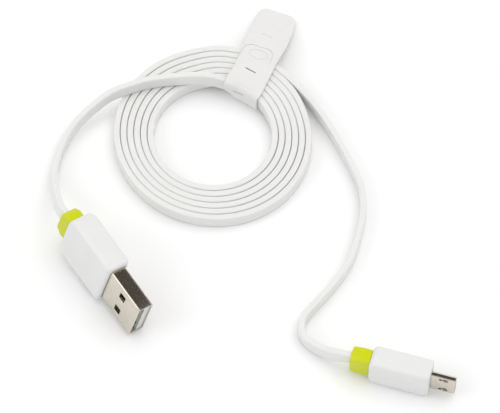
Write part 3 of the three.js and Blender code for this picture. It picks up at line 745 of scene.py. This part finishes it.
def studio_part(tree, place, part):
    """A round part of the studio, fading into the rest. Returns the mix of the two."""
    nearness = tree.nodes.new("ShaderNodeVectorMath")
    nearness.operation = "DOT_PRODUCT"
    nearness.inputs[1].default_value = part["direction"]
    tree.links.new(place.outputs["Generated"], nearness.inputs[0])
    fade = tree.nodes.new("ShaderNodeMapRange")
    fade.inputs["From Min"].default_value = part["start"]
    fade.inputs["From Max"].default_value = part["whole"]
    tree.links.new(nearness.outputs["Value"], fade.inputs["Value"])
    mix = tree.nodes.new("ShaderNodeMix")
    mix.data_type = "RGBA"
    mix.inputs["B"].default_value = part["colour"]
    tree.links.new(fade.outputs["Result"], mix.inputs["Factor"])
    return mix


def add_studio():
    """A bright studio with a dark part and a brighter one, which only the metal shows."""
    world = bpy.data.worlds.new("studio")
    bpy.context.scene.world = world
    world.use_nodes = True
    tree = world.node_tree
    place = tree.nodes.new("ShaderNodeTexCoord")
    dark = studio_part(tree, place, DARK_PART)
    bright = studio_part(tree, place, BRIGHT_PART)
    background = tree.nodes["Background"]
    dark.inputs["A"].default_value = STUDIO_COLOUR
    tree.links.new(dark.outputs["Result"], bright.inputs["A"])
    tree.links.new(bright.outputs["Result"], background.inputs["Color"])
    background.inputs["Strength"].default_value = STUDIO_STRENGTH
    bpy.context.scene.view_settings.view_transform = "Standard"


def add_lamp():
    """A broad lamp overhead, which the metal doesn't reflect."""
    light = bpy.data.lights.new("softbox", "SUN")
    light.energy = LAMP_STRENGTH
    light.angle = LAMP_BREADTH
    light.color = LAMP_COLOUR
    lamp = new_object("softbox", light)
    lamp.rotation_euler = (-LAMP_LEAN, LAMP_LEAN, 0.0)
    lamp.visible_glossy = False


def add_floor():
    mesh = bpy.data.meshes.new("floor")
    built = bmesh.new()
    bmesh.ops.create_grid(built, x_segments=8, y_segments=8, size=FLOOR_SIZE)
    built.to_mesh(mesh)
    built.free()
    floor = new_object("floor", mesh)
    floor.location.z = FLOOR_HEIGHT
    mesh.materials.append(paper("floor_paper"))
    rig.stage(floor)


# ---- the cord ----

def coil_lift(angle):
    """How far the strap under the coil raises it."""
    ahead = (angle - LIFT_AZIMUTH + math.pi) % math.tau - math.pi
    return STRAP_LIFT * (1.0 - smoothstep(abs(ahead), LIFT_FLAT, LIFT_END))


def coil_point(turn):
    """A point of the wound cord's centre line, a number of turns from its outer end."""
    angle = COIL_START + math.tau * turn
    oval = COIL_OVAL * (1.0 - turn / COIL_TURNS)
    radius = COIL_RADIUS + oval * math.cos(2 * (angle - COIL_BULGE)) - COIL_PITCH * turn
    return (radius * math.cos(angle), radius * math.sin(angle), CORD_HEIGHT / 2 + coil_lift(angle))


def collar_rear(mould, collar):
    """Where a collar ends, on its plug's axis."""
    return -(mould["length"] + BUTT + collar["length"])


def cord_line():
    """The cord's centre line from the USB-A collar, through the coil, to the micro-B collar."""
    near = collar_rear(USB_A_MOULD, USB_A_COLLAR)
    far = collar_rear(MICRO_B_MOULD, MICRO_B_COLLAR)
    wound = [coil_point(i / COIL_POINTS) for i in range(COIL_TURNS * COIL_POINTS - 1, 0, -1)]
    points = [on_axis(USB_A_FRAME, near + TUCK), on_axis(USB_A_FRAME, near - ENTRY)]
    points += [COIL_CENTRE + p for p in (*reversed(USB_A_ROUTE), *wound, *MICRO_B_ROUTE)]
    points += [on_axis(MICRO_B_FRAME, far - ENTRY), on_axis(MICRO_B_FRAME, far + TUCK)]
    line = smooth_line(points, CORD_STEP)
    for _ in range(CORD_SMOOTHINGS):
        line[1:-1] = line[1:-1] / 2 + (line[:-2] + line[2:]) / 4
    return line


def add_cord():
    """The flat cord, upright on its narrow side, and leaning over with the USB-A plug at its start."""
    line = cord_line()
    section = rectangle(CORD_THICKNESS / 2, CORD_HEIGHT / 2, CORD_CORNER, 4, (2, 2))
    rings = []
    for middle, tangent, distance in zip(line, directions(line), distances(line)):
        side = np.cross(tangent, UP)
        side /= np.linalg.norm(side)
        upright = np.cross(side, tangent)
        lean = -math.radians(USB_A["roll"]) * (1.0 - smoothstep(distance, 0.0, ROLL_REACH))
        turned = math.cos(lean) * upright + math.sin(lean) * np.cross(tangent, upright)
        across = np.cross(tangent, turned)
        rings.append(middle + section[:, :1] * across + section[:, 1:] * turned)
    cord = loft("cord", rings)
    dress(cord, CORD_MATERIAL, "cord_white")
    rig.ride(cord, "cable")
    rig.replaces(cord, "cord_usb_a_side", "cord_coil", "cord_micro_b_side")
    return cord, line


# ---- plugs ----

def rounded_end(outer, end, rim, towards, steps):
    """Rings from inset to whole at an end of a block, rounded over a rim."""
    turns = np.linspace(0.0, math.pi / 2, steps)
    return [outer(end + towards * rim * (1 - math.cos(a)), rim * (1 - math.sin(a))) for a in turns]


def openings(matrix, places):
    """Rings of the hollow in a block, through places of (distance, half width, half thickness, corner)."""
    return [at(matrix, x, rectangle(w, t, r, **PLUG_STEPS)) for x, w, t, r in places]


def mould_width(mould, x):
    """Half the overmould's width at a distance along the plug: it narrows over its rear shoulders."""
    slope, drop = mould["slope"], mould["drop"]
    blend = 0.3 * slope
    past = x + mould["length"] - slope
    if past <= -blend:
        fall = -past * drop / slope
    elif past < blend:
        fall = drop / slope * (blend - past) ** 2 / (4 * blend)
    else:
        fall = 0.0
    return mould["width"] / 2 - fall


def metalwork_room(mould, shell, can):
    """The places of an overmould's hollow: round its shell, round its rear can, and out for the wires."""
    wide, thick = shell["half_width"], shell["half_thickness"]
    mouth = (wide + CHAMFER, thick + CHAMFER, MOUTH_CORNER)
    round_shell = (wide + CLEARANCE, thick + CLEARANCE, MOUTH_CORNER)
    round_can = (can["half_width"] + CLEARANCE, can["half_thickness"] + CLEARANCE, CAN_CORNER)
    shell_end = shell["rear"] - CLEARANCE
    return [
        (0.0, *mouth), (-CHAMFER, *round_shell), (shell_end, *round_shell),
        (shell_end - STEP, *round_can), (can["rear"], *round_can),
        (can["rear"] - STEP, *WIRE_PASSAGE), (-mould["length"], *WIRE_PASSAGE),
    ]


def add_overmould(name, matrix, mould, shell, can, replaced):
    """A soft-edged block that is hollow for the metalwork."""
    rear, edge, rim = -mould["length"], mould["edge"], mould["rim"]
    half = mould["thickness"] / 2
    shoulder = rear + mould["slope"] * 1.5

    def outer(x, inset):
        outline = (mould_width(mould, x) - inset, half - inset, edge - 0.4 * inset)
        return at(matrix, x, rectangle(*outline, **PLUG_STEPS))

    rings = rounded_end(outer, rear, rim, 1, 6)
    rings += [outer(x, 0.0) for x in np.linspace(rear + rim, shoulder, 9)[1:]]
    rings += [outer(x, 0.0) for x in np.linspace(shoulder, -rim, 7)[1:-1]]
    rings += reversed(rounded_end(outer, 0.0, rim, -1, 6))
    rings += openings(matrix, metalwork_room(mould, shell, can))
    piece = loft(name, rings, closed=True)
    dress(piece, MOULD_MATERIAL, "overmould_white")
    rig.ride(piece, "cable")
    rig.replaces(piece, replaced)


def add_collar(name, matrix, mould, collar, replaced):
    """The coloured collar, with a socket that the cord runs into."""
    front = -mould["length"] - STEP
    rear = collar_rear(mould, collar)
    waist = front + (rear - front) * COLLAR_WAIST
    half = collar["thickness"] / 2

    def outer(x, inset):
        width = np.interp(x, (rear, waist), (collar["rear"] / 2, collar["front"] / 2))
        outline = (width - inset, half - inset, COLLAR_EDGE - 0.4 * inset)
        return at(matrix, x, rectangle(*outline, **PLUG_STEPS))

    rings = rounded_end(outer, rear, COLLAR_RIM, 1, 4)
    rings += [outer(rear + (waist - rear) * share, 0.0) for share in (0.5, 0.92, 1.08)]
    rings += [outer(front - 0.0002, 0.0), outer(front - 0.00005, 0.00005), outer(front, 0.0002)]
    wide, thick, corner = CORD_SOCKET
    rings += openings(matrix, [
        (front, *WIRE_PASSAGE), (rear + SOCKET_DEPTH, *WIRE_PASSAGE),
        (rear + SOCKET_DEPTH - STEP, *CORD_SOCKET), (rear + SOCKET_CHAMFER, *CORD_SOCKET),
        (rear, wide + SOCKET_CHAMFER, thick + SOCKET_CHAMFER, corner),
    ])
    piece = loft(name, rings, closed=True)
    dress(piece, COLLAR_MATERIAL, "collar_green")
    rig.ride(piece, "cable")
    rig.replaces(piece, replaced)


def sleeve(name, matrix, shell, outer, inner, steps):
    """A pressed tube with a rounded front rim. outer and inner are the corners of its section."""
    rear, wall, radius = shell["rear"], shell["wall"], shell["edge"]
    rim = wall / 2
    shoulder = shell["tip"] - rim
    outside = rounded_outline(outer, radius, **steps)
    inside = rounded_outline(inner, max(radius - wall, 0.00005), **steps)
    middle = (outside + inside) / 2
    rings = [at(matrix, x, outside) for x in np.linspace(rear, shoulder, 6)]
    for a in np.radians([60.0, 30.0, 0.0]):
        rings.append(at(matrix, shoulder + rim * math.cos(a), middle + (outside - middle) * math.sin(a)))
    for a in np.radians([30.0, 60.0, 90.0]):
        rings.append(at(matrix, shoulder + rim * math.cos(a), middle + (inside - middle) * math.sin(a)))
    rings.append(at(matrix, rear, inside))
    return loft(name, rings, closed=True)


def cut_pair(piece, matrix, pair):
    """Cuts the same opening on both sides of a plug's axis."""
    x, aside, z = pair["place"]
    for y in (aside, -aside):
        combine(piece, block("opening", pair["size"], matrix @ Matrix.Translation((x, y, z))))


def add_usb_a_shell():
    """A folded box with two square holes through both wide faces and a seam in the lower one."""
    shell, wall = USB_A_SHELL, USB_A_SHELL["wall"]
    wide, thick = shell["half_width"], shell["half_thickness"]
    piece = sleeve("usb_a_pressed_shell", USB_A_FRAME, shell, box_corners(wide, thick),
                   box_corners(wide - wall, thick - wall), PLUG_STEPS)
    cut_pair(piece, USB_A_FRAME, USB_A_HOLES)
    seam = USB_A_FRAME @ Matrix.Translation(USB_A_SEAM["place"])
    combine(piece, block("seam", USB_A_SEAM["size"], seam))
    soften(piece, 0.00006)
    dress(piece, USB_A_STEEL, "shell_steel")
    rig.ride(piece, "cable")
    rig.replaces(piece, "usb_a_shell")


def add_micro_b_shell():
    """A tube with two bevelled sides, and a slot for each latch in its wide face."""
    shell = MICRO_B_SHELL

    def corners(inset):
        wide, thick = shell["half_width"] - inset, shell["half_thickness"] - inset
        narrow = MICRO_B_NARROW - inset * 0.4
        return [(wide, thick), (-wide, thick), (-wide, MICRO_B_BEVEL),
                (-narrow, -thick), (narrow, -thick), (wide, MICRO_B_BEVEL)]

    piece = sleeve("micro_b_pressed_shell", MICRO_B_FRAME, shell, corners(0.0), corners(shell["wall"]),
                   {"corner_steps": 4, "side_steps": (3, 3)})
    cut_pair(piece, MICRO_B_FRAME, LATCH_SLOTS)
    soften(piece, 0.00004)
    dress(piece, MICRO_B_STEEL, "shell_steel")
    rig.ride(piece, "cable")
    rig.replaces(piece, "micro_b_shell")


# ---- the strap ----

def on_strap(s, q, z):
    """A point at s along the strap, q to the right of its middle line and z up."""
    return COIL_CENTRE + s * ALONG + (q + STRAP_OFFSET) * ACROSS + z * UP


def strap_tilt(s, z):
    """How far the strap leans: fully over the raised strand, not at all under the coil or past it."""
    return TILT["most"] * (1.0 - smoothstep(s, *TILT["fades"])) * smoothstep(z, *TILT["grows"])


def strap_skew(s, q, z):
    """How far the fold is pushed out by the strands it goes round, and tucked in under the raised one."""
    bow = BOW["most"] * (1.0 - ((q - BOW["middle"]) / BOW["half_width"]) ** 2)
    low = 1.0 - smoothstep(z, *TUCK_IN["height"])
    tuck = TUCK_IN["most"] * smoothstep(-q, *TUCK_IN["left"]) * low
    return (bow + tuck) * (1.0 - smoothstep(s, *SKEW_FADES))


def band(name, line, edges, corner):
    """A band along a line of (s, z), with a rounded edge all round and rounded corners at its far end."""
    line = smooth_line(line, 0.0001)
    along = distances(line)
    ways = directions(line)
    total = along[-1]
    straight = np.arange(0.0, total - corner, BAND_STEP)
    turns = np.radians(np.linspace(0.0, 88.0, 18))
    towards_end = total - corner * (1.0 - np.sin(turns))
    rings = []
    for distance in np.append(straight, towards_end):
        s, z = (np.interp(distance, along, line[:, k]) for k in (0, 1))
        ds, dz = (np.interp(distance, along, ways[:, k]) for k in (0, 1))
        left, right = (np.interp(s, [e[0] for e in edges], [e[k] for e in edges]) for k in (1, 2))
        remaining = total - distance
        cut = corner - math.sqrt(corner ** 2 - max(corner - remaining, 0.0) ** 2)
        thick = HALF_BAND * math.sqrt(1.0 - max(1.0 - remaining / BAND_RIM, 0.0) ** 2)
        outline = [(right - cut, thick), (cut - left, thick), (cut - left, -thick), (right - cut, -thick)]
        section = rounded_outline(outline, 0.8 * thick, 4, (14, 2))
        tilt = strap_tilt(s, z)
        rings.append([on_strap(s - dz * h + strap_skew(s, q, z), q, z + ds * h - q * tilt)
                      for q, h in section])
    return loft(name, rings)


def slit(place, size, turn):
    """A block that cuts a slit, turned about the vertical by degrees from the strap's direction."""
    matrix = Matrix((ALONG, ACROSS, np.cross(ALONG, ACROSS))).transposed().to_4x4()
    matrix = Matrix.Translation(Vector(on_strap(*place))) @ matrix
    return block("slit", size, matrix @ Matrix.Rotation(math.radians(turn), 4, "Z"))


def turned(name, profile):
    """An upright round shape at the peg's place, from a profile of (radius, height)."""
    turns = np.linspace(0.0, math.tau, 32, endpoint=False)
    rings = []
    for radius, z in profile:
        rings.append([on_strap(PEG_PLACE + radius * math.cos(a), radius * math.sin(a), z) for a in turns])
    return loft(name, rings)


def groove(outline, width, depth, closed=False):
    """A square rod for cutting a groove into the flap along an outline of (s, q)."""
    outline = spaced(np.array(outline), 0.0002)
    if closed:
        outline = outline[:-1]
    line = np.array(FLAP_LINE)
    half, above = width / 2, 0.0006
    rod = [(-half, above), (half, above), (half, -depth), (-half, -depth)]
    rings = []
    for (s, q), (ds, dq) in zip(outline, directions(outline)):
        top = np.interp(s, line[:, 0], line[:, 1]) + HALF_BAND
        rings.append([on_strap(s - dq * w, q + ds * w, top + h) for w, h in rod])
    return loft("groove", rings, closed)


def flap_grooves():
    """The flap's faint markings: a field with round corners, an oval in it, and a short bar beyond it."""
    corner = FIELD["corner"]
    left, right, end = FIELD["left"] + corner, FIELD["right"] - corner, FIELD["end"] - corner
    turns = np.linspace(0.0, math.pi / 2, 9)
    field = [(FIELD["left_start"], FIELD["left"])]
    field += [(end + corner * math.sin(a), left - corner * math.cos(a)) for a in turns]
    field += [(end + corner * math.cos(a), right + corner * math.sin(a)) for a in turns]
    field.append((FIELD["right_start"], FIELD["right"]))
    oval = [(OVAL["s"] + OVAL["half_length"] * math.cos(a), OVAL["q"] + OVAL["half_width"] * math.sin(a))
            for a in np.linspace(0.0, math.tau, 49)]
    return [groove(field, 0.0002, 0.00016), groove(oval, 0.00016, 0.00009, closed=True),
            groove(BAR, 0.0007, 0.0002)]


def add_strap_base():
    """The fold and the layer under the coil, with a hole for the peg."""
    base = band("strap_under_band", BASE_LINE, BASE_EDGES, BASE_CORNER)
    combine(base, turned("hole", PEG_HOLE))
    combine(base, slit(**FOLD_SLIT))
    dress(base, STRAP_MATERIAL, "strap_silicone")
    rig.ride(base, "cable")
    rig.replaces(base, "strap_base")


def add_strap_flap():
    """The layer over the coil, down to its paddle, with a peg on its underside."""
    flap = band("strap_over_band", FLAP_LINE, FLAP_EDGES, FLAP_CORNER)
    for tool in flap_grooves():
        combine(flap, tool)
    combine(flap, slit(**FLAP_SLIT))
    combine(flap, turned("peg", PEG), "UNION")
    dress(flap, STRAP_MATERIAL, "strap_silicone")
    start = on_strap(BEND_START, 0.0, FLAP_START[1])
    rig.blend(flap, "cable", "flap", start=start, end=start + BEND_LENGTH * ALONG)
    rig.replaces(flap, "strap_flap")


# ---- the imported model's own small parts ----

def finish_nodes():
    """Better materials for the nodes that stay."""
    for name, node in frame["nodes"].items():
        if node.hide_render:
            continue
        if "contact" in name:
            material = GOLD
        elif "wire" in name:
            material = WIRE_MATERIALS[name.rsplit("_", 1)[1]]
        elif "inner_mould" in name:
            material = INNER_MATERIAL
        elif name == "usb_a_tongue":
            material = TONGUE_WHITE
        elif name == "micro_b_insulator":
            material = TONGUE_BLACK
        elif name.startswith("usb_a"):
            material = USB_A_STEEL
        else:
            material = MICRO_B_STEEL
        for slot in node.material_slots:
            slot.material = material


add_camera()
add_studio()
add_lamp()
add_floor()
cord, cord_path = add_cord()
add_overmould("usb_a_soft_mould", USB_A_FRAME, USB_A_MOULD, USB_A_SHELL, USB_A_CAN, "usb_a_overmould")
add_overmould("micro_b_soft_mould", MICRO_B_FRAME, MICRO_B_MOULD, MICRO_B_SHELL, MICRO_B_CAN,
              "micro_b_overmould")
add_collar("usb_a_soft_collar", USB_A_FRAME, USB_A_MOULD, USB_A_COLLAR, "usb_a_strain_relief")
add_collar("micro_b_soft_collar", MICRO_B_FRAME, MICRO_B_MOULD, MICRO_B_COLLAR, "micro_b_strain_relief")
add_usb_a_shell()
add_micro_b_shell()
add_strap_base()
add_strap_flap()
finish_nodes()

far_pieces = [o for o in bpy.context.scene.objects
              if o.name.startswith("micro_b_") and not o.hide_render]
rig.cord(cord, exit=cord_path[0], length=CORD_LENGTH, diameter=CORD_HEIGHT, far_end="connector",
        stiffness="medium", lay="coiled", path=cord_path, with_pieces=far_pieces)

new_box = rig.bounds()
with open("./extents.json", "w") as sizes:
    json.dump({"cad": [list(corner) for corner in cad_box],
               "visual": [list(corner) for corner in new_box]}, sizes)
